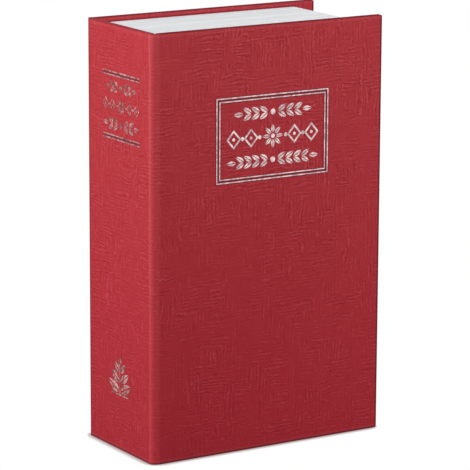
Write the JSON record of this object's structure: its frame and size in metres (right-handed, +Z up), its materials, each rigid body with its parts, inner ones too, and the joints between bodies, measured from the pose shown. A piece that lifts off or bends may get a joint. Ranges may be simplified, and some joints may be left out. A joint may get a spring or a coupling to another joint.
{
  "type": "book diversion safe",
  "caption": "Hardback book shell standing upright, with a moulded page block that hides a hinged-lid steel tray closed by a wafer cam lock.",
  "frame": {"origin": "centre of the closed book's bounding box, on the surface its tail edge stands on", "axes": "+Z up along the spine; -X towards the spine and +X towards the fore-edge; -Y towards the front cover and +Y towards the back cover"},
  "size_m": [0.112, 0.055, 0.18],
  "materials": {
    "red_paper": "embossed, satin",
    "greyboard": "matte",
    "lining_paper": "matte",
    "page_plastic": "matte moulded",
    "black_steel": "fine textured powder coat",
    "zinc_steel": "zinc plated",
    "chrome": "polished",
    "brass": "stamped",
    "silver_foil": "hot-stamped foil"
  },
  "bodies": {
    "back_cover": {"back_board": "greyboard", "back_wrap": "red_paper", "back_endpaper": "lining_paper", "back_joint": "red_paper", "page_frame": "page_plastic", "tray": "black_steel", "tray_hinge_leaf": "black_steel", "hinge_pin": "zinc_steel", "catch_plate": "zinc_steel"},
    "spine": {"spine_board": "greyboard", "spine_wrap": "red_paper", "spine_lining": "lining_paper", "front_joint": "red_paper"},
    "front_cover": {"front_board": "greyboard", "front_wrap": "red_paper", "front_endpaper": "lining_paper"},
    "lid": {"lid": "black_steel", "lid_hinge_leaf": "black_steel", "lock_housing": "chrome", "lock_washer": "zinc_steel", "lock_nut": "chrome"},
    "lock_plug": {"lock_plug": "chrome", "lock_wafer_1": "brass", "lock_wafer_2": "brass", "lock_wafer_3": "brass", "lock_wafer_4": "brass", "lock_cam": "zinc_steel", "cam_washer": "zinc_steel", "cam_screw": "zinc_steel"}
  },
  "joints": [
    {"name": "spine_fold", "type": "hinge", "parent": "back_cover", "child": "spine", "pos_m": [-0.05536, 0.02686, 0.09], "axis": [0, 0, -1], "range_deg": [0, 90], "deforming": ["back_joint"]},
    {"name": "cover_swing", "type": "hinge", "parent": "spine", "child": "front_cover", "pos_m": [-0.05536, -0.02686, 0.09], "axis": [0, 0, -1], "range_deg": [0, 180], "deforming": ["front_joint"]},
    {"name": "lid_hinge", "type": "hinge", "parent": "back_cover", "child": "lid", "pos_m": [-0.04333, -0.01935, 0.09], "axis": [0, 0, -1], "range_deg": [0, 100]},
    {"name": "lock_turn", "type": "hinge", "parent": "lid", "child": "lock_plug", "pos_m": [0.022, -0.0104, 0.09], "axis": [0, -1, 0], "range_deg": [0, 90]}
  ],
  "couplings": [
    {"joint": "lid_hinge", "follows": "cover_swing", "ratio": 0.55556}
  ]
}
